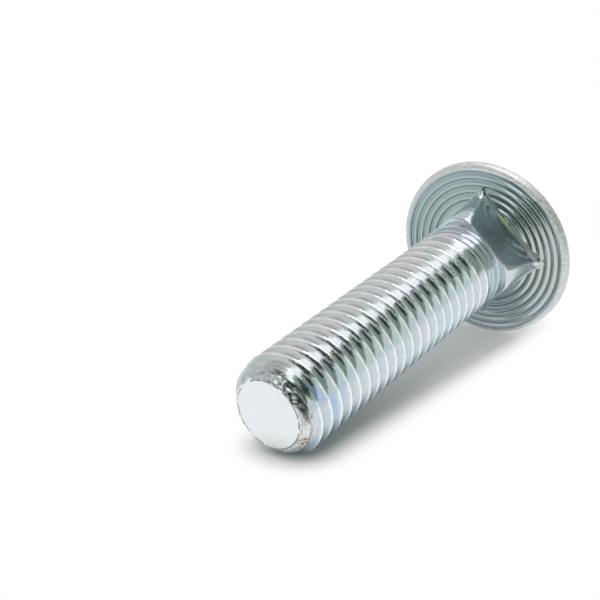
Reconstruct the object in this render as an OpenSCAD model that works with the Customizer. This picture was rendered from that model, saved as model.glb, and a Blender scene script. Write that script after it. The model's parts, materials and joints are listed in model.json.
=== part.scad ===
// Carriage bolt, lying on its head's rim and its thread's end.
// Millimetres. Origin under the middle of its box, on the ground.
// X runs along the bolt, with the domed head at +X; Z is up.

/* [Head] */
// diameter of the domed head
head_d = 26.4; // [22:0.1:32]
// height of the head from its underside to the top of the dome
head_h = 6.6; // [4.5:0.1:9]
// height of the band around the head's edge
edge_h = 1.1; // [0.7:0.05:1.6]
// how far the edge band draws in towards the underside
edge_in = 0.6; // [0.2:0.05:0.9]

/* [Rings under the head] */
// number of grooves rolled into the underside
ring_n = 5; // [3:1:5]
// distance from one groove to the next
ring_pitch = 1.05; // [0.8:0.01:1.05]
// width of one groove
ring_w = 0.78; // [0.4:0.01:0.78]
// depth of one groove
ring_depth = 0.22; // [0.1:0.01:0.35]
// width of the flat land outside the last groove
land_w = 0.41; // [0.3:0.01:0.8]

/* [Square neck] */
// width across the flats of the square neck
neck_w = 12.6; // [12.5:0.05:13.1]
// length of the square neck from the head's underside
neck_l = 6.6; // [6:0.1:8]
// diameter over the corners where the neck meets the head
corner_d = 17.4; // [16.5:0.1:17.6]
// diameter over the corners at the neck's other end
corner_end_d = 15.2; // [14.2:0.1:16.2]
// slope that fills the foot of each flat
foot = 0.45; // [0.2:0.05:0.8]
// turn of the square about the bolt's axis
neck_turn = 43; // [0:1:90]

/* [Shank] */
// length of the bolt from the head's underside to its point
bolt_l = 50.8; // [30:0.1:80]
// diameter over the thread's crests
thread_d = 12.5; // [12.35:0.01:12.6]
// distance from one crest to the next
thread_p = 1.954; // [1.7:0.001:2.2]
// depth of the thread, crest to root
thread_h = 1.2; // [0.9:0.01:1.3]
// where the crests start along their turn, as a part of one pitch
thread_phase = 0.24; // [0:0.001:1]
// diameter of the plain band between neck and thread
band_d = 12.2; // [12.15:0.01:12.3]
// length of the plain band
band_l = 1.5; // [1.2:0.1:6]
// diameter of the flat face at the point
point_d = 9.3; // [8.4:0.1:10.2]
// length of the taper behind the point
point_l = 1.96; // [1.2:0.01:2.4]

/* [Hidden] */
$fn = 72;
zinc = [0.74, 0.77, 0.79];

head_r = head_d / 2;
thread_r = thread_d / 2;
root_r = thread_r - thread_h;
band_r = band_d / 2;
point_r = point_d / 2;

// dome
dome_rise = head_h - edge_h;
dome_r = (head_r * head_r + dome_rise * dome_rise) / (2 * dome_rise);
dome_c = dome_r - head_h;

// thread
turn_n = 36;
crest_w = thread_p / 8;
root_w = thread_p / 6;
thread_from = neck_l + band_l;
rod_from = thread_from - 0.4;
start_k = floor(rod_from / thread_p) - 3;
turns = ceil(bolt_l / thread_p) + 2 - start_k;
row_n = turns * turn_n;
row_e = row_n - turn_n;
// the four lines of one pitch: crest, crest, root, root
line_at = [-crest_w / 2, crest_w / 2, thread_p / 2 - root_w / 2, thread_p / 2 + root_w / 2];
line_r = [thread_r, thread_r, root_r, root_r];

// how the bolt lies
low_k = floor((bolt_l - point_l - crest_w / 2) / thread_p - thread_phase - 0.5);
low_s = (low_k + thread_phase + 0.5) * thread_p + crest_w / 2;
lie = atan((head_r - thread_r) / (low_s + edge_h));
axis_z = head_r * cos(lie) - edge_h * sin(lie);
// taper of the edge band's straight part, level with the ground where the bolt lies on it
edge_draft = 0.6 * edge_h * tan(lie);
// turn of the head's seam, half a facet of its finest mesh, so that a facet faces the ground
head_turn = 180 / 98;
x_min = -bolt_l * cos(lie) - point_r * sin(lie);
x_max = dome_r - dome_c * cos(lie);
x_mid = (x_min + x_max) / 2;

function part_of(v, a, b) = min(1, max(0, (v - a) / (b - a)));

// radius of one line of the thread at s along the bolt
function run_in(s) = part_of(s, thread_from + 0.1, thread_from + 0.9 * thread_p);
function deep_in(s) = part_of(s, thread_from + 0.1, thread_from + 1.9 * thread_p);
function crest_r(s) = band_r - 0.05 + (thread_r - band_r + 0.05) * run_in(s);
function body_r(s, r) = crest_r(s) - (thread_r - r) * deep_in(s);
function taper_r(s) = max(2, point_r + (bolt_l - s) * (thread_r - point_r) / point_l);
function rod_r(s, r) = min(body_r(s, r), taper_r(s));

// place of line c at step q of the turn; half a step is added so that a flat faces the ground
function turns_at(q) = (q + 0.5) / turn_n;
function line_s(q, c) = (start_k + thread_phase + turns_at(q)) * thread_p + line_at[c];
function rod_pt(q, c) =
    let (s = line_s(q, c), r = rod_r(s, line_r[c]), a = 360 * turns_at(q))
    [r * cos(a), r * sin(a), s];

// number of the point of line c at step q; line 4 is line 0 one turn on
function first_no(q) = q <= row_e ? 4 * q : 3 * row_e + 3 + q;
function pt_no(q, c) = c < 4 ? first_no(q) + c : first_no(q + turn_n);

// profile under the head, from the axis outward
groove_out = head_r - edge_in - land_w;
function groove(i) =
    let (b = groove_out - i * ring_pitch)
    [[b - ring_w, 0], [b - 0.62 * ring_w, -ring_depth], [b - 0.38 * ring_w, -ring_depth], [b, 0]];
under_pts = [for (i = [ring_n - 1:-1:0]) each groove(i)];
edge_pts = [
    [head_r - edge_in, 0],
    [head_r - 0.53 * edge_in, -0.11 * edge_h],
    [head_r - 0.27 * edge_in, -0.25 * edge_h],
    [head_r - edge_draft, -0.4 * edge_h],
    [head_r, -edge_h],
    [head_r, -head_h - 1],
    [0, -head_h - 1]
];

// head: dome, edge band and ringed underside
module head() {
    intersection() {
        rotate([0, 0, head_turn])
            rotate_extrude() polygon(concat([[0, 0]], under_pts, edge_pts));
        translate([0, 0, dome_c]) sphere(r = dome_r);
    }
}

// square neck with its corners tapered towards the shank
module neck() {
    rotate([0, 0, neck_turn]) {
        intersection() {
            translate([-neck_w / 2, -neck_w / 2, -1]) cube([neck_w, neck_w, neck_l + 1]);
            translate([0, 0, -1])
                cylinder(h = neck_l + 1, d1 = corner_d, d2 = corner_end_d);
        }
        intersection() {
            translate([0, 0, -1]) rotate([0, 0, 45])
                cylinder(h = 1 + foot, r1 = (neck_w / 2 + 1 + foot) * sqrt(2),
                    r2 = neck_w / sqrt(2), $fn = 4);
            translate([0, 0, -1])
                cylinder(h = 1 + foot, d1 = corner_d + 2 + 2 * foot, d2 = corner_d - 0.3);
        }
    }
}

// rolled right-hand thread with its run-out and its tapered point
module thread() {
    pts = concat([for (q = [0:row_e], c = [0:3]) rod_pt(q, c)],
        [for (q = [row_e + 1:row_n]) rod_pt(q, 0)],
        [[0, 0, line_s(0, 0) - 1], [0, 0, line_s(row_n, 3) + 1]]);
    low = len(pts) - 2;
    high = len(pts) - 1;
    side = [for (q = [0:row_e - 1], c = [0:3], h = [0, 1])
        h == 0 ? [pt_no(q, c), pt_no(q, c + 1), pt_no(q + 1, c)]
            : [pt_no(q + 1, c), pt_no(q, c + 1), pt_no(q + 1, c + 1)]];
    first = [for (q = [0:turn_n - 1]) [low, pt_no(q, 0), pt_no(q + 1, 0)]];
    first_step = [for (c = [0:3]) [low, pt_no(0, c + 1), pt_no(0, c)]];
    last = [for (q = [row_e:row_n - 1]) [high, pt_no(q + 1, 0), pt_no(q, 0)]];
    last_step = [for (c = [0:3]) [high, pt_no(row_e, c), pt_no(row_e, c + 1)]];
    intersection() {
        polyhedron(points = pts, faces = concat(side, first, first_step, last, last_step));
        translate([0, 0, rod_from]) cylinder(h = bolt_l - rod_from, d = thread_d + 4);
    }
}

// the whole bolt, standing on its dome with the underside at zero
module bolt() {
    head();
    neck();
    translate([0, 0, -1]) cylinder(h = thread_from + 1, r = band_r);
    thread();
}

module carriage_bolt() {
    color(zinc)
        translate([-x_mid, 0, axis_z])
            rotate([0, -90 - lie, 0])
                bolt();
}

carriage_bolt();
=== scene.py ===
"""A zinc-plated carriage bolt, lying on its head's rim and its thread's end."""
import json
import math

import bpy
from mathutils import Matrix, Vector, noise


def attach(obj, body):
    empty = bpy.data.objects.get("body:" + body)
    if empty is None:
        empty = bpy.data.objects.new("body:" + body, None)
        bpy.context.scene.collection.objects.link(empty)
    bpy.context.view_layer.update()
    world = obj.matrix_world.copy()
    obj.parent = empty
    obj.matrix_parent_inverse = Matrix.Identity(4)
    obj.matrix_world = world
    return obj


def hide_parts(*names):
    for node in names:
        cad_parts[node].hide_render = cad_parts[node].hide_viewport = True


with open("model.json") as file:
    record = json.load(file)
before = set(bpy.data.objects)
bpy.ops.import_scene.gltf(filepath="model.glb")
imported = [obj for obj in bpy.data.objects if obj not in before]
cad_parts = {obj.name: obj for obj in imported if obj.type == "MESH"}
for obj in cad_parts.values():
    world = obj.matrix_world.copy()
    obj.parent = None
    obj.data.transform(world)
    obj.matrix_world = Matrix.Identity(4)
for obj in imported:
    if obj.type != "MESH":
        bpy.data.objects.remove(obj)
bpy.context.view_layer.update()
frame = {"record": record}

MM = 0.001

# Head, in millimetres
HEAD_R = 26.4 / 2
HEAD_H = 6.6
EDGE_H = 1.1
EDGE_IN = 0.6
RING_N = 5
RING_PITCH = 1.05
RING_W = 0.78
RING_DEPTH = 0.22
LAND_W = 0.41

# Square neck
NECK_W = 12.6
NECK_L = 6.6
CORNER_D = 17.4
CORNER_END_D = 15.2
NECK_TURN = math.radians(43)
NECK_BLANK_R = 8.0

# Plain band and thread; the nick at the point is given in degrees round the axis
BAND_R = 12.2 / 2
BAND_L = 1.5
THREAD_FROM = NECK_L + BAND_L
THREAD_R = 12.5 / 2
THREAD_P = 1.954
THREAD_PHASE = 0.24
BOLT_L = 50.8
POINT_D = 9.3
POINT_L = 1.96
NICK_AT = 98

# Fineness of the meshes, in steps round the axis
ROUND = 144
TURN = 96


# Where the bolt lies, from its own mounts

mounts = {m["name"]: m for m in frame["record"]["mounts"]}
along = Vector(mounts["thread"]["axis"]).normalized()
side = Vector((0, 1, 0))
over = side.cross(along).normalized()
point_centre = Vector(mounts["thread"]["pos_m"])
under_centre = point_centre - along * (BOLT_L * MM)
LAID = Matrix((over, side, along)).transposed().to_4x4()
LAID.translation = under_centre


# Modelling helpers

def deselect_all():
    bpy.ops.object.select_all(action="DESELECT")


def edit_mode():
    bpy.ops.object.mode_set(mode="EDIT")


def object_mode():
    bpy.ops.object.mode_set(mode="OBJECT")


def select_all():
    bpy.ops.mesh.select_all(action="SELECT")


def pick(piece):
    """Selects one piece alone and makes it active."""
    deselect_all()
    piece.select_set(True)
    bpy.context.view_layer.objects.active = piece


def line_through(name, points):
    """An open line of edges through (radius, height) points, drawn by extruding one vertex."""
    deselect_all()
    first = points[0]
    bpy.ops.mesh.primitive_plane_add(size=0.1 * MM, location=(first[0] * MM, 0, first[1] * MM))
    line = bpy.context.object
    line.name = name
    bpy.ops.object.transform_apply(location=True, rotation=True, scale=True)
    edit_mode()
    select_all()
    bpy.ops.mesh.merge(type="CENTER")
    for before, after in zip(points, points[1:]):
        step = ((after[0] - before[0]) * MM, 0, (after[1] - before[1]) * MM)
        bpy.ops.mesh.extrude_vertices_move(TRANSFORM_OT_translate={"value": step})
    object_mode()
    return line


def clean_up(piece, gap=0.0005):
    """Merges doubles and turns every face outwards."""
    pick(piece)
    edit_mode()
    select_all()
    bpy.ops.mesh.remove_doubles(threshold=gap * MM)
    bpy.ops.mesh.normals_make_consistent(inside=False)
    object_mode()


def apply_modifier(piece, modifier):
    pick(piece)
    bpy.ops.object.modifier_apply(modifier=modifier.name)


def spun(name, points):
    """A closed solid of revolution about the bolt's axis."""
    piece = line_through(name, points)
    edit_mode()
    select_all()
    bpy.ops.mesh.spin(steps=ROUND, angle=math.tau, center=(0, 0, 0), axis=(0, 0, 1))
    object_mode()
    clean_up(piece)
    return piece


def joined(piece, other):
    """Fuses another solid into a piece."""
    union = piece.modifiers.new("union", "BOOLEAN")
    union.operation = "UNION"
    union.solver = "MANIFOLD"
    union.object = other
    apply_modifier(piece, union)
    bpy.data.objects.remove(other)


def between(value, low, high):
    """0 at low, 1 at high, straight between."""
    return min(1.0, max(0.0, (value - low) / (high - low)))


def eased(value, low, high):
    """0 at low, 1 at high, with a soft start and end."""
    t = between(value, low, high)
    return t * t * (3 - 2 * t)


# Head

def dome_points():
    """The dome, from its middle out to where the edge band begins."""
    rise = HEAD_H - EDGE_H
    ball = (HEAD_R * HEAD_R + rise * rise) / (2 * rise)
    bevel = 0.1
    half = math.asin((HEAD_R - bevel) / ball)
    steps = 34
    return [(ball * math.sin(half * i / steps), ball - HEAD_H - ball * math.cos(half * i / steps))
            for i in range(steps + 1)]


def edge_points():
    """The trimmed edge band, from the dome to the underside: a small bevel, a slight taper and a round."""
    straight = [(0.035, -EDGE_H - 0.045), (0.01, -EDGE_H), (0.02, -0.9 * EDGE_H),
                (0.045, -0.72 * EDGE_H), (0.07, -0.55 * EDGE_H), (0.095, -0.4 * EDGE_H)]
    rounded = [(0.26, -0.27), (0.4, -0.175), (0.57, -0.105), (0.77, -0.05), (1, 0)]
    return ([(HEAD_R - inset, height) for inset, height in straight]
            + [(HEAD_R - inset * EDGE_IN, height * EDGE_H) for inset, height in rounded])


def underside_points():
    """The flat land and the rounded grooves inside it, from the edge towards the neck."""
    points = []
    groove_out = HEAD_R - EDGE_IN - LAND_W
    steps = 8
    for ring in range(RING_N):
        out = groove_out - ring * RING_PITCH
        for i in range(steps + 1):
            t = i / steps
            depth = RING_DEPTH * 0.5 * (1 - math.cos(math.tau * t))
            points.append((out - RING_W * t, -depth))
    return points


def make_head():
    inside_neck = [(5.0, 0), (0, 0)]
    return spun("head", dome_points() + edge_points() + underside_points() + inside_neck)


# Square neck

def off_flat(angle):
    """Angle from the middle of the nearest flat, up to an eighth of a turn either way."""
    return (angle - NECK_TURN + math.pi / 4) % (math.pi / 2) - math.pi / 4


def flat_distance(angle):
    """How far the square reaches at an angle."""
    return NECK_W / 2 / math.cos(off_flat(angle))


def soft_min(a, b, width):
    """The lower of two values, rounded where they cross."""
    mix = between(0.5 + 0.5 * (b - a) / width, 0.0, 1.0)
    return b * (1 - mix) + a * mix - width * mix * (1 - mix)


def corner_radius(height):
    """Radius over the corners: a straight taper, rolled over at the neck's end."""
    roll_l = 0.5
    roll_in = 0.35
    slope = CORNER_D / 2 + (CORNER_END_D - CORNER_D) / 2 * height / NECK_L
    end = max(0.0, height - (NECK_L - roll_l)) / roll_l
    return slope - roll_in * (1 - math.sqrt(max(0.0, 1 - end * end)))


def spur(angle, height):
    """How far the corners curve out where they meet the head."""
    reach = 0.6
    fade = 1.3
    near_corner = eased(abs(off_flat(angle)), math.radians(31), math.radians(45))
    return reach * near_corner * (1 - between(height, 0.0, fade)) ** 2


def neck_radius(angle, height):
    """The neck's outline: flats, tapered corners, a fillet at its foot and an eased ledge."""
    foot_l = 0.75
    foot_out = 0.55
    flare = foot_out * (1 - math.sqrt(1 - (1 - between(height, 0.0, foot_l)) ** 2 * 0.999))
    corner_round = 0.35
    square = soft_min(flat_distance(angle), corner_radius(height) + 0.9 * flare, corner_round)
    square += flare * 0.95
    square += spur(angle, height)
    ledge_ease = 0.12
    square -= ledge_ease * between(height, NECK_L - ledge_ease, NECK_L) ** 2
    return square


def neck_points():
    """The neck's side as a plain blank, with rings close together where it is shaped most."""
    heights = [-1.0, -0.3, 0.0, 0.06, 0.13, 0.21, 0.3, 0.42, 0.56, 0.75, 1.0, 1.4, 1.9, 2.5, 3.2, 3.9,
               4.5, 5.0, 5.4, 5.7, 5.9, 6.05, 6.15, 6.25, 6.34, 6.42, 6.49, 6.55, 6.59, NECK_L]
    return [(0, heights[0])] + [(NECK_BLANK_R, height) for height in heights]


def band_points(fillet):
    """The plain band, from the fillet at the neck's ledge to its eased end under the thread."""
    points = []
    for degrees in (22.5, 45, 67.5, 90):
        a = math.radians(degrees)
        points.append((BAND_R + fillet * (1 - math.sin(a)), NECK_L + fillet * (1 - math.cos(a))))
    return points + [(BAND_R, NECK_L + 0.6), (BAND_R, THREAD_FROM - 0.12),
                     (BAND_R - 0.04, THREAD_FROM - 0.03), (BAND_R - 0.12, THREAD_FROM), (0, THREAD_FROM)]


def make_neck():
    """A round blank with its band, then pushed into the square, point by point."""
    fillet = 0.22
    ledge_in = BAND_R + fillet
    ledge = [(7.0, NECK_L), (6.7, NECK_L), (ledge_in, NECK_L)]
    neck = spun("neck", neck_points() + ledge + band_points(fillet))
    for vertex in neck.data.vertices:
        x, y, z = (c / MM for c in vertex.co)
        radius = math.hypot(x, y)
        if radius < 0.01 or z > NECK_L + 0.0001:
            continue
        square = neck_radius(math.atan2(y, x), z)
        if radius > NECK_BLANK_R - 0.1:
            new = square
        else:
            share = between(radius, ledge_in, NECK_BLANK_R)
            new = ledge_in + (square - BAND_R - fillet) * share
        vertex.co.x *= new / radius
        vertex.co.y *= new / radius
    return neck


# Thread

def rounded_profile():
    """(height, depth) points of one pitch, crest to crest: narrow crests and slightly hollow flanks."""
    half = THREAD_P / 2
    slope = math.radians(63)
    tip = 0.09
    flat = 0.03
    tip_steps = 3
    points = [(0.0, 0.0), (flat, 0.0)]
    for i in range(1, tip_steps + 1):
        a = slope * i / tip_steps
        points.append((flat + tip * math.sin(a), tip * (1 - math.cos(a))))
    top, start = points[-1]
    hollow = 1.9
    depth = (half - top) * math.tan(slope) / hollow
    flank_steps = 8
    for i in range(1, flank_steps + 1):
        t = i / flank_steps
        points.append((top + (half - top) * t, start + depth * (1 - (1 - t) ** hollow)))
    mirrored = [(THREAD_P - h, d) for h, d in reversed(points[:-1])]
    return points + mirrored


def taper_radius(height):
    """Radius allowed by the tapered point, rounded over at its flat face."""
    left = BOLT_L - height
    slope = POINT_D / 2 + left * (THREAD_R * 2 - POINT_D) / 2 / POINT_L
    lip = 0.28
    if left < lip:
        t = 1 - max(0.0, left) / lip
        slope -= 0.2 * (1 - math.sqrt(max(0.0, 1 - t * t)))
    return max(2.0, slope)


def rolled_rough(x, y, z):
    """The crumpled edge that thread rolling leaves around the point, with one small nick."""
    if z < BOLT_L - 2.6:
        return 0.0
    near = eased(z, BOLT_L - 2.4, BOLT_L - 0.9)
    edge = eased(z, BOLT_L - 1.6, BOLT_L - 0.4)
    wide = noise.noise(Vector((x * 0.35, y * 0.35, z * 0.5)))
    fold = noise.noise(Vector((x * 0.5, y * 0.5, z * 2.1 + 7)))
    crumb = noise.noise(Vector((x * 1.3, y * 1.3, z * 1.8 + 3)))
    crack = 1 - 4 * abs(noise.noise(Vector((x * 0.9, y * 0.9, z * 2.4 + 11))))
    turned = math.degrees(math.atan2(y, x)) - NICK_AT
    nick = math.exp(-(turned / 5) ** 2 - ((z - BOLT_L) / 0.7) ** 2)
    rough = near * (0.12 * wide + 0.14 * fold) + edge * (0.16 * crumb - 0.05 * max(0.0, crack))
    return rough - 0.3 * nick


def thread_radius(x, y, z, depth):
    """Where a point of the plain rolled thread goes: run in at the neck, cut to the taper and crumpled."""
    shallow = eased(z, THREAD_FROM - 0.1, THREAD_FROM + 2.1 * THREAD_P)
    rising = eased(z, THREAD_FROM - 0.1, THREAD_FROM + THREAD_P)
    sunk = 0.06
    crest = BAND_R - sunk + (THREAD_R - BAND_R + sunk) * rising
    return min(crest - depth * shallow, taper_radius(z) + rolled_rough(x, y, z))


def finer_point(piece):
    """Cuts the faces near the point into smaller ones, for its crumpled edge."""
    edit_mode()
    bpy.ops.mesh.select_mode(type="FACE")
    bpy.ops.mesh.select_all(action="DESELECT")
    object_mode()
    for face in piece.data.polygons:
        face.select = BOLT_L - 2.0 < face.center.z / MM < BOLT_L + 0.3
    edit_mode()
    bpy.ops.mesh.subdivide(number_cuts=2)
    bpy.ops.mesh.select_mode(type="VERT")
    object_mode()


def make_thread():
    """The profile rolled along the bolt, shaped, and cut off inside the band and at the point's face."""
    first = math.floor((THREAD_FROM - 0.8) / THREAD_P) - 1 + THREAD_PHASE
    turns = math.ceil(BOLT_L / THREAD_P - first) + 1
    line = line_through("thread", [(THREAD_R - depth, first * THREAD_P + height)
                                   for height, depth in rounded_profile()])
    screw = line.modifiers.new("roll", "SCREW")
    screw.axis = "Z"
    screw.angle = math.tau
    screw.screw_offset = THREAD_P * MM
    screw.iterations = turns
    screw.steps = TURN
    screw.render_steps = TURN
    screw.use_merge_vertices = False
    apply_modifier(line, screw)
    clean_up(line, 0.002)
    finer_point(line)
    for vertex in line.data.vertices:
        x, y, z = (c / MM for c in vertex.co)
        now = math.hypot(x, y)
        new = thread_radius(x, y, z, THREAD_R - now)
        vertex.co.x *= new / now
        vertex.co.y *= new / now
    edit_mode()
    for height, outer in ((THREAD_FROM - 0.5, False), (BOLT_L, True)):
        select_all()
        bpy.ops.mesh.bisect(plane_co=(0, 0, height * MM), plane_no=(0, 0, 1), use_fill=True,
                            clear_inner=not outer, clear_outer=outer, threshold=0.00001 * MM)
    object_mode()
    clean_up(line)
    return line


def make_bolt():
    bolt = make_head()
    joined(bolt, make_neck())
    joined(bolt, make_thread())
    bolt.name = "zinc_plated_bolt"
    bolt.data.transform(LAID)
    pick(bolt)
    bpy.ops.object.shade_smooth_by_angle(angle=math.radians(38))
    return bolt


# Material helpers

def add(tree, kind, **settings):
    """A new node with its settings."""
    made = tree.nodes.new(kind)
    for key, value in settings.items():
        setattr(made, key, value)
    return made


def feed(tree, made, name, value):
    """Sets an input to a number or colour, or links it to another node's output."""
    socket = made.inputs[name]
    if isinstance(value, bpy.types.NodeSocket):
        tree.links.new(value, socket)
    else:
        socket.default_value = value


def feed_all(tree, made, values):
    """Sets several inputs, each under its name or number."""
    for name, value in values.items():
        feed(tree, made, name, value)


def maths(tree, operation, first, second=0.0, third=0.0):
    made = add(tree, "ShaderNodeMath", operation=operation)
    feed_all(tree, made, {0: first, 1: second, 2: third})
    return made.outputs[0]


def product(tree, first, *others):
    """Several values multiplied together."""
    for other in others:
        first = maths(tree, "MULTIPLY", first, other)
    return first


def vector_maths(tree, operation, first, second=(0, 0, 0)):
    made = add(tree, "ShaderNodeVectorMath", operation=operation)
    feed_all(tree, made, {0: first, 1: second})
    return made.outputs["Value" if operation in ("DOT_PRODUCT", "LENGTH") else "Vector"]


def towards(tree, place, direction):
    """How far a point lies in a direction."""
    return vector_maths(tree, "DOT_PRODUCT", place, direction)


def combined(tree, x, y, z=0.0):
    """A vector of three values."""
    made = add(tree, "ShaderNodeCombineXYZ")
    feed_all(tree, made, {0: x, 1: y, 2: z})
    return made.outputs[0]


def ramp(tree, value, low, high, start=0.0, end=1.0):
    """The value's eased place between low and high, as start to end."""
    made = add(tree, "ShaderNodeMapRange", interpolation_type="SMOOTHSTEP")
    feed_all(tree, made, {"Value": value, "From Min": low, "From Max": high, "To Min": start, "To Max": end})
    return made.outputs["Result"]


def blend(tree, share, first, second):
    """A mix of two colours."""
    made = add(tree, "ShaderNodeMix", data_type="RGBA")
    feed_all(tree, made, {0: share, 6: first, 7: second})
    return made.outputs[2]


def mix_value(tree, share, first, second):
    """A mix of two numbers."""
    made = add(tree, "ShaderNodeMix", data_type="FLOAT")
    feed_all(tree, made, {0: share, 2: first, 3: second})
    return made.outputs[0]


def mix_shader(tree, share, first, second):
    """A mix of two shaders, given as nodes."""
    made = add(tree, "ShaderNodeMixShader")
    feed_all(tree, made, {0: share, 1: first.outputs[0], 2: second.outputs[0]})
    return made


def speckle(tree, vector, scale, detail, rough, seed):
    """Noise from 0 to 1; seed moves it, so that two of them differ."""
    made = add(tree, "ShaderNodeTexNoise", noise_dimensions="4D")
    feed_all(tree, made, {"Vector": vector, "W": seed, "Scale": scale, "Detail": detail, "Roughness": rough})
    return made.outputs["Fac"]


def bump(tree, strength, distance_mm, height):
    made = add(tree, "ShaderNodeBump")
    feed_all(tree, made, {"Strength": strength, "Distance": distance_mm * MM, "Height": height})
    return made


def group(name, takes, gives):
    """An empty node group with its input and output nodes."""
    tree = bpy.data.node_groups.new(name, "ShaderNodeTree")
    for socket, kind in takes:
        tree.interface.new_socket(socket, in_out="INPUT", socket_type=kind)
    for socket, kind in gives:
        tree.interface.new_socket(socket, in_out="OUTPUT", socket_type=kind)
    return tree, tree.nodes.new("NodeGroupInput"), tree.nodes.new("NodeGroupOutput")


def use(tree, inner, **values):
    """The outputs of a node group placed in a material."""
    made = add(tree, "ShaderNodeGroup", node_tree=inner)
    feed_all(tree, made, values)
    return made.outputs


# Zinc plating

# Directions across the bolt, as parts of over, side and along; left and right as seen from its point
DOWN = (-1, 0, 0)
LEFT = (0, 1, 0)
UP_LEFT = (0.4, 0.9, 0)
UP_RIGHT = (0.5, -0.866, 0)
RIGHT_RATHER_HIGH = (0.3, -0.95, 0)
RIGHT = (0.2, -0.98, 0)
DOWN_RIGHT = (-0.75, -0.66, 0)


def place_group():
    """Millimetres in the bolt's own frame: where a point lies along the axis and how far from it."""
    gives = [("Place", "NodeSocketVector"), ("Along", "NodeSocketFloat"), ("Radius", "NodeSocketFloat")]
    tree, _, end = group("place_on_bolt", [], gives)
    here = add(tree, "ShaderNodeTexCoord").outputs["Object"]
    here = vector_maths(tree, "SUBTRACT", here, under_centre)
    x, y, z = [towards(tree, here, axis / MM) for axis in (over, side, along)]
    off_axis = vector_maths(tree, "LENGTH", combined(tree, x, y))
    feed_all(tree, end, {"Place": combined(tree, x, y, z), "Along": z, "Radius": off_axis})
    return tree


def tint_and_shade_group():
    """The plating's faint clouds, plus painted shade: duller on the left and darker and bluer below."""
    tree, start, end = group("plating_tint_and_shade", [("Place", "NodeSocketVector")], [("Color", "NodeSocketColor")])
    place = start.outputs["Place"]
    sea_grey = (0.59, 0.68, 0.69, 1)
    blue_grey = (0.61, 0.68, 0.75, 1)
    warm_grey = (0.75, 0.71, 0.70, 1)
    spot_grey = (0.52, 0.58, 0.60, 1)
    shaded_left_grey = (0.47, 0.57, 0.59, 1)
    shaded_low_blue = (0.31, 0.45, 0.54, 1)
    wide = speckle(tree, place, scale=0.16, detail=3.0, rough=0.55, seed=1.7)
    fine = speckle(tree, place, scale=0.55, detail=3.0, rough=0.6, seed=8.3)
    spots = speckle(tree, place, scale=2.6, detail=2.0, rough=0.6, seed=4.1)
    colour = blend(tree, ramp(tree, wide, 0.36, 0.64), sea_grey, blue_grey)
    colour = blend(tree, ramp(tree, fine, 0.46, 0.72, 0.0, 0.6), colour, warm_grey)
    colour = blend(tree, ramp(tree, spots, 0.6, 0.75, 0.0, 0.35), colour, spot_grey)
    # painted shade and reflection: duller on the left, darker and bluer below
    left = ramp(tree, towards(tree, place, LEFT), 0.3, 3.4, 0.0, 0.8)
    colour = blend(tree, left, colour, shaded_left_grey)
    below = ramp(tree, towards(tree, place, DOWN), 1.2, 4.0, 0.0, 0.75)
    colour = blend(tree, below, colour, shaded_low_blue)
    feed(tree, end, "Color", colour)
    return tree


def relief_group():
    """Height of the plating's waves, its grain and the fine lines that run round the bolt."""
    gives = [("Height", "NodeSocketFloat")]
    tree, start, end = group("plating_relief", [("Place", "NodeSocketVector")], gives)
    place = start.outputs["Place"]
    waves = speckle(tree, place, scale=0.6, detail=2.0, rough=0.5, seed=2.2)
    grain = speckle(tree, place, scale=2.2, detail=2.0, rough=0.6, seed=6.4)
    round_it = vector_maths(tree, "MULTIPLY", place, (0.5, 0.5, 2.6))
    drawn = speckle(tree, round_it, scale=1.0, detail=3.5, rough=0.75, seed=5.1)
    height = maths(tree, "MULTIPLY_ADD", drawn, 0.65, waves)
    height = maths(tree, "MULTIPLY_ADD", grain, 0.3, height)
    feed(tree, end, "Height", height)
    return tree


def dome_marks(tree, place):
    """Short hairline scratches and pin marks, as a share."""
    stretched = vector_maths(tree, "MULTIPLY", place, (0.4, 1.5, 1.0))
    hair = speckle(tree, stretched, scale=0.9, detail=2.0, rough=0.4, seed=15.9)
    hair = ramp(tree, maths(tree, "ABSOLUTE", maths(tree, "SUBTRACT", hair, 0.5)), 0.008, 0.002)
    patches = speckle(tree, place, scale=0.9, detail=2.0, rough=0.6, seed=17.3)
    hair = product(tree, hair, ramp(tree, patches, 0.50, 0.60))
    pins = speckle(tree, place, scale=3.4, detail=1.0, rough=0.5, seed=18.8)
    pins = ramp(tree, pins, 0.68, 0.74)
    return product(tree, maths(tree, "MAXIMUM", hair, pins), 0.45)


def dome_colour(tree, clouds, marks):
    """Cleaner plating with faint clouds, dark in its scratches."""
    sea_white = (0.66, 0.74, 0.75, 1)
    lavender = (0.72, 0.74, 0.81, 1)
    scratch = (0.42, 0.47, 0.49, 1)
    clean = blend(tree, ramp(tree, clouds, 0.38, 0.62), sea_white, lavender)
    return blend(tree, marks, clean, scratch)


def ring_share(tree, along_mm, radius_mm):
    """1 on the ringed underside, 0 on the edge band, the dome and the shank."""
    under = product(tree, ramp(tree, along_mm, 0.5, 0.15), ramp(tree, radius_mm, 12.45, 12.3))
    return product(tree, under, ramp(tree, along_mm, -0.8, -0.5))


def shaded_ring_colour(tree, place):
    """Painted shade and reflection on the underside: grey on the right, teal at the upper left and bluer at
    the bottom.
    """
    grey = (0.53, 0.57, 0.565, 1)
    teal = (0.38, 0.475, 0.485, 1)
    blue = (0.45, 0.55, 0.58, 1)
    rings = blend(tree, ramp(tree, towards(tree, place, UP_LEFT), -9.0, 3.0), grey, teal)
    return blend(tree, ramp(tree, towards(tree, place, DOWN), 1.0, 11.0, 0.0, 0.6), rings, blue)


def painted_glint_share(tree, place):
    """A small painted glint of yellowish green at the foot of one flat."""
    middle = (5.45, -3.72, 0.25)
    spread = ((0.56, 0.52, 0), (3.1, -3.3, 0), (0, 0, 3.2))
    spot = vector_maths(tree, "SUBTRACT", place, middle)
    inside = combined(tree, *[towards(tree, spot, axis) for axis in spread])
    return ramp(tree, vector_maths(tree, "LENGTH", inside), 1.1, 0.5)


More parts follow.
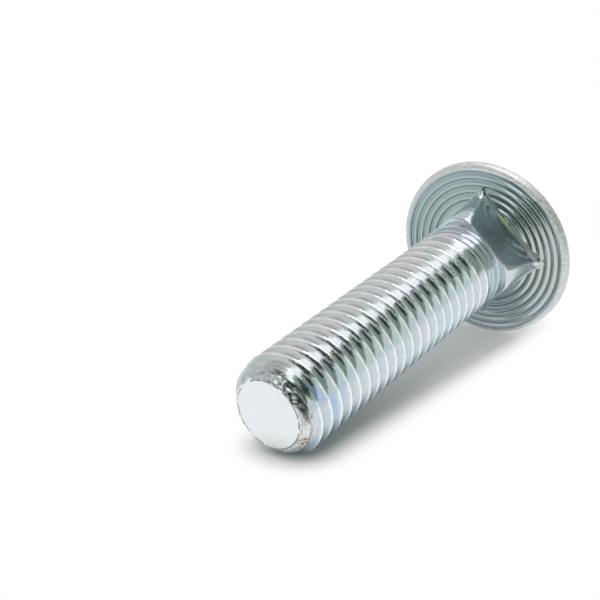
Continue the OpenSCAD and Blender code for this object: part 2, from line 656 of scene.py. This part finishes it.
def crest_wear_and_highlight_share(tree, place, along_mm, radius_mm):
    """The thread's worn crests with an uneven edge; how bright they show is also painted highlight, most on
    top and on the right.
    """
    uneven = speckle(tree, place, scale=1.4, detail=3.0, rough=0.65, seed=20.1)
    uneven = maths(tree, "MULTIPLY_ADD", maths(tree, "SUBTRACT", uneven, 0.5), 0.5, radius_mm)
    crest = product(tree, ramp(tree, uneven, 6.04, 6.17), ramp(tree, along_mm, 8.2, 9.5))
    # painted highlight: the crests' wear shows less below and on the left
    worn = product(tree, ramp(tree, towards(tree, place, DOWN), 1.0, 4.5, 0.8, 0.25),
                   ramp(tree, towards(tree, place, LEFT), 0.0, 4.0, 1.0, 0.3))
    return product(tree, crest, worn)


def thread_colour(tree, place, along_mm, radius_mm, colour):
    """A painted teal reflection along the upper right, painted shade in the grooves and bright worn crests
    with painted highlight.
    """
    teal = (0.44, 0.54, 0.54, 1)
    shaded_groove_grey = (0.42, 0.51, 0.56, 1)
    crest_white = (0.93, 0.95, 0.96, 1)
    # painted reflection: a teal band on the upper right side
    painted_reflection_line = maths(tree, "DIVIDE", towards(tree, place, UP_RIGHT), radius_mm)
    painted_reflection_line = product(tree, ramp(tree, painted_reflection_line, 0.93, 0.985, 0.0, 0.75), ramp(tree, along_mm, 8.0, 11.0))
    colour = blend(tree, painted_reflection_line, colour, teal)
    # painted shade in the grooves
    groove_shade = product(tree, ramp(tree, radius_mm, 5.85, 5.4, 0.0, 0.4), ramp(tree, along_mm, 9.0, 11.0))
    colour = blend(tree, groove_shade, colour, shaded_groove_grey)
    return blend(tree, crest_wear_and_highlight_share(tree, place, along_mm, radius_mm), colour, crest_white)


def point_colour(tree, place, along_mm, radius_mm, colour, face, rim, folds, grit):
    """The pressed face, and round it painted shade in the folds, a pale grainy patch and a thin dark lip."""
    face_white = (0.84, 0.88, 0.90, 1)
    face_grey = (0.74, 0.79, 0.82, 1)
    fold_shade_dark = (0.10, 0.10, 0.09, 1)
    pale_grit = (0.84, 0.81, 0.76, 1)
    lip_dark = (0.14, 0.14, 0.13, 1)
    faint = speckle(tree, place, scale=1.1, detail=3.0, rough=0.6, seed=9.4)
    pressed = blend(tree, ramp(tree, faint, 0.62, 0.72), face_white, face_grey)
    colour = blend(tree, face, colour, pressed)

    # painted shade in the folds, mostly on one side
    shaded_side = ramp(tree, towards(tree, place, RIGHT_RATHER_HIGH), -0.5, 3.2, 0.06, 0.95)
    dark = product(tree, rim, shaded_side, ramp(tree, folds, 0.50, 0.56))
    colour = blend(tree, dark, colour, fold_shade_dark)
    # a pale grainy patch low on the right
    pale_patch = ramp(tree, towards(tree, place, DOWN_RIGHT), 2.2, 4.2, 0.0, 0.75)
    pale_patch = product(tree, rim, pale_patch, ramp(tree, grit, 0.42, 0.5))
    colour = blend(tree, pale_patch, colour, pale_grit)
    lip = product(tree, ramp(tree, radius_mm, 4.28, 4.36), ramp(tree, radius_mm, 4.56, 4.46))
    lip = product(tree, lip, ramp(tree, along_mm, 50.2, 50.5), ramp(tree, faint, 0.40, 0.52, 0.0, 0.8))
    return blend(tree, lip, colour, lip_dark)


def bloom_share(tree, place, along_mm, radius_mm):
    """Blue bloom in patches of the last grooves before the point, on the right."""
    patches = speckle(tree, place, scale=0.35, detail=2.0, rough=0.5, seed=12.6)
    bloom = product(tree, ramp(tree, patches, 0.40, 0.62, 0.0, 0.8), ramp(tree, along_mm, 41.0, 46.0))
    bloom = product(tree, bloom, ramp(tree, along_mm, 49.0, 48.6), ramp(tree, radius_mm, 6.0, 5.7))
    return product(tree, bloom, ramp(tree, towards(tree, place, RIGHT), 4.0, 4.9))


def make_zinc():
    """The bolt's one material: bright zinc plating, with its own finish on each part of the bolt."""
    glint_yellow = (0.76, 0.79, 0.32, 1)
    band_dark = (0.58, 0.60, 0.60, 1)
    band_pale = (0.86, 0.87, 0.87, 1)
    bloom_blue = (0.40, 0.51, 0.79, 1)
    zinc = bpy.data.materials.new("zinc_plate")
    zinc.use_nodes = True
    tree = zinc.node_tree
    shader = tree.nodes["Principled BSDF"]
    place, along_mm, radius_mm = use(tree, place_group())

    grit = speckle(tree, place, scale=3.2, detail=3.0, rough=0.7, seed=3.3)
    clouds = speckle(tree, place, scale=0.2, detail=2.0, rough=0.5, seed=14.2)
    round_it = vector_maths(tree, "MULTIPLY", place, (0.38, 0.38, 2.4))
    folds = speckle(tree, round_it, scale=1.0, detail=4.0, rough=0.7, seed=7.9)
    marks = dome_marks(tree, place)

    # parts of the bolt: dome, matt edge band, the point's face and the crumpled rim round that
    dome = ramp(tree, along_mm, -1.12, -1.3)
    band = product(tree, ramp(tree, radius_mm, 12.52, 12.6), ramp(tree, along_mm, -1.3, -1.16))
    face = ramp(tree, along_mm, 50.7, 50.79)
    rim = product(tree, ramp(tree, along_mm, 48.9, 49.8), ramp(tree, radius_mm, 4.3, 4.5))

    colour = use(tree, tint_and_shade_group(), Place=place)["Color"]
    colour = blend(tree, dome, colour, dome_colour(tree, clouds, marks))
    colour = blend(tree, ring_share(tree, along_mm, radius_mm), colour, shaded_ring_colour(tree, place))
    colour = blend(tree, painted_glint_share(tree, place), colour, glint_yellow)
    colour = thread_colour(tree, place, along_mm, radius_mm, colour)
    trimmed = blend(tree, ramp(tree, grit, 0.35, 0.65), band_dark, band_pale)
    colour = blend(tree, band, colour, trimmed)
    colour = point_colour(tree, place, along_mm, radius_mm, colour, face, rim, folds, grit)
    colour = blend(tree, bloom_share(tree, place, along_mm, radius_mm), colour, bloom_blue)
    feed(tree, shader, "Base Color", colour)
    feed(tree, shader, "Metallic", 1.0)

    rough = ramp(tree, grit, 0.3, 0.7, 0.10, 0.17)
    rough = mix_value(tree, dome, rough, ramp(tree, clouds, 0.35, 0.65, 0.18, 0.27))
    rough = mix_value(tree, product(tree, dome, marks), rough, 0.5)
    rough = mix_value(tree, band, rough, ramp(tree, grit, 0.3, 0.7, 0.42, 0.55))
    rough = mix_value(tree, face, rough, 0.3)
    feed(tree, shader, "Roughness", rough)

    height = use(tree, relief_group(), Place=place)["Height"]
    waves = bump(tree, 1.0, 0.04, height)
    rugged = mix_value(tree, rim, product(tree, grit, 0.5), folds)
    gritty = bump(tree, maths(tree, "MAXIMUM", band, rim), 0.1, rugged)
    feed(tree, gritty, "Normal", waves.outputs["Normal"])
    feed(tree, shader, "Normal", gritty.outputs["Normal"])
    return zinc


bolt = make_bolt()
bolt.data.materials.clear()
bolt.data.materials.append(make_zinc())
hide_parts("carriage_bolt")
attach(bolt, "root")


# Floor and light

# Stretch of the floor along X, in metres, that keeps the bolt's true shadow
SHADOW_MIDDLE = 0.003
SHADOW_HALF = 0.0255


def seen_ray(tree):
    """1 for what the camera, metal or glass sees, 0 for what only lights the scene."""
    path = add(tree, "ShaderNodeLightPath")
    seen = maths(tree, "ADD", path.outputs["Is Camera Ray"], path.outputs["Is Glossy Ray"])
    return maths(tree, "MINIMUM", maths(tree, "ADD", seen, path.outputs["Is Transmission Ray"]), 1.0)


def clear_of_shadow(tree):
    """1 away from the bolt's shadow, 0 in it, and a little more than 0 under the head."""
    here = add(tree, "ShaderNodeSeparateXYZ")
    feed(tree, here, 0, add(tree, "ShaderNodeTexCoord").outputs["Object"])
    beyond = maths(tree, "ABSOLUTE", maths(tree, "SUBTRACT", here.outputs["X"], SHADOW_MIDDLE))
    beyond = maths(tree, "MAXIMUM", maths(tree, "SUBTRACT", beyond, SHADOW_HALF), 0.0)
    distance = vector_maths(tree, "LENGTH", combined(tree, beyond, here.outputs["Y"]))
    far = ramp(tree, distance, 0.003, 0.009)
    # painted light: the glow also lightens the true shadow towards the head
    under_head = ramp(tree, here.outputs["X"], -0.02, 0.03, 0.0, 0.22)
    return maths(tree, "MAXIMUM", far, under_head)


def make_floor():
    """A white floor that stays white out to the horizon and keeps the bolt's shadow near it."""
    deselect_all()
    bpy.ops.mesh.primitive_plane_add(size=4, location=(0, 0, 0))
    plane = bpy.context.object
    plane.name = "floor"
    white = bpy.data.materials.new("floor_white")
    white.use_nodes = True
    tree = white.node_tree
    shader = tree.nodes["Principled BSDF"]
    feed_all(tree, shader, {"Base Color": (0.92, 0.92, 0.92, 1), "Roughness": 0.9, "Specular IOR Level": 0.0})
    glow = add(tree, "ShaderNodeEmission")
    lit = mix_shader(tree, product(tree, clear_of_shadow(tree), seen_ray(tree)), shader, glow)

    # open to the eye from below
    clear = add(tree, "ShaderNodeBsdfTransparent")
    below = add(tree, "ShaderNodeNewGeometry").outputs["Backfacing"]
    eye = add(tree, "ShaderNodeLightPath").outputs["Is Camera Ray"]
    either = mix_shader(tree, product(tree, below, eye), lit, clear)
    feed(tree, tree.nodes["Material Output"], "Surface", either.outputs[0])
    plane.data.materials.append(white)


def make_room():
    """A white world: white to the eye and in reflections, a little dimmer as light."""
    world = bpy.data.worlds.new("studio")
    bpy.context.scene.world = world
    world.use_nodes = True
    tree = world.node_tree
    as_light = (0.80, 0.79, 0.78, 1)
    as_seen = (1, 1, 1, 1)
    colour = blend(tree, seen_ray(tree), as_light, as_seen)
    feed_all(tree, tree.nodes["Background"], {"Color": colour, "Strength": 1.0})


def softbox(name, at, width, height, brightness):
    """A lamp that faces the bolt, its width lengthwise; brightness is what a mirror would show."""
    lamp = bpy.data.lights.new(name, "AREA")
    lamp.shape = "RECTANGLE"
    lamp.size = width
    lamp.size_y = height
    lamp.energy = 4 * brightness * width * height
    box = bpy.data.objects.new(name, lamp)
    bpy.context.collection.objects.link(box)
    box.location = at
    box.rotation_euler = (math.atan2(-at[1], at[2]), 0, 0)


def card_finish(card, colour):
    """Gives a card its plain shade; the camera looks past it and only the metal shows it."""
    shade = bpy.data.materials.new(card.name)
    shade.use_nodes = True
    tree = shade.node_tree
    glow = add(tree, "ShaderNodeEmission")
    feed(tree, glow, "Color", colour)
    feed(tree, tree.nodes["Material Output"], "Surface", glow.outputs[0])
    card.data.materials.append(shade)
    card.visible_camera = False


def sheet(name, keep_front, colour):
    """Half of a long pipe round the bolt: paper hung behind and over it, or in front of it."""
    just_above_floor = (0, 0, 0.001)
    backwards = (0, 0.887, 0.462)
    deselect_all()
    bpy.ops.mesh.primitive_cylinder_add(vertices=96, radius=0.8, depth=4, end_fill_type="NOTHING",
                                        location=(0, 0, 0), rotation=(0, math.radians(90), 0))
    paper = bpy.context.object
    paper.name = name
    bpy.ops.object.transform_apply(location=True, rotation=True, scale=True)
    edit_mode()
    select_all()
    bpy.ops.mesh.bisect(plane_co=just_above_floor, plane_no=(0, 0, 1), clear_inner=True)
    select_all()
    bpy.ops.mesh.bisect(plane_co=(0, 0, 0), plane_no=backwards, clear_inner=not keep_front,
                        clear_outer=keep_front)
    object_mode()
    card_finish(paper, colour)


def plain_card(name, direction, radius, colour, wide=1.0):
    """A round or oval card half a metre off that faces the bolt."""
    deselect_all()
    out = Vector(direction).normalized()
    bpy.ops.mesh.primitive_circle_add(vertices=64, radius=radius, fill_type="NGON", location=out * 0.5,
                                      rotation=out.to_track_quat("Z", "Y").to_euler())
    bpy.ops.transform.resize(value=(1, wide, 1))
    card = bpy.context.object
    card.name = name
    card_finish(card, colour)


make_floor()
make_room()
sheet("back_sheet", False, (0.82, 0.785, 0.755, 1))
sheet("front_sheet", True, (0.37, 0.42, 0.36, 1))
plain_card("low_card", (-1, 0.10, 0.07), 0.125, (0.03, 0.04, 0.038, 1), wide=1.7)
plain_card("side_card", (-0.80, -0.48, 0.34), 0.125, (0.04, 0.06, 0.055, 1))
plain_card("dim_card", (-0.45, 0.42, 0.78), 0.19, (0.62, 0.58, 0.56, 1))
softbox("strip", (-0.32, -0.085, 0.40), width=1.36, height=0.22, brightness=0.5)
softbox("key", (0.02, 0.03, 0.50), width=0.05, height=0.05, brightness=28)


# The photograph's own viewpoint

CAMERA_AT = Vector((-0.117386, -0.072596, 0.059456))
CAMERA_BACK = Vector((-0.75243, -0.57156, 0.32738))
CAMERA_ROLL = math.radians(0.94)
FOCAL_PX = 1109.5
IMAGE_PX = 600
SENSOR_W = 36


def make_camera():
    settings = bpy.data.cameras.new("camera")
    settings.sensor_width = SENSOR_W
    settings.lens = SENSOR_W * FOCAL_PX / IMAGE_PX
    settings.clip_start = 0.001
    camera = bpy.data.objects.new("camera", settings)
    bpy.context.collection.objects.link(camera)
    turn = CAMERA_BACK.to_track_quat("Z", "Y").to_matrix().to_4x4()
    camera.matrix_world = Matrix.Translation(CAMERA_AT) @ turn @ Matrix.Rotation(-CAMERA_ROLL, 4, "Z")
    bpy.context.scene.camera = camera


make_camera()
bpy.context.scene.view_settings.view_transform = "Standard"
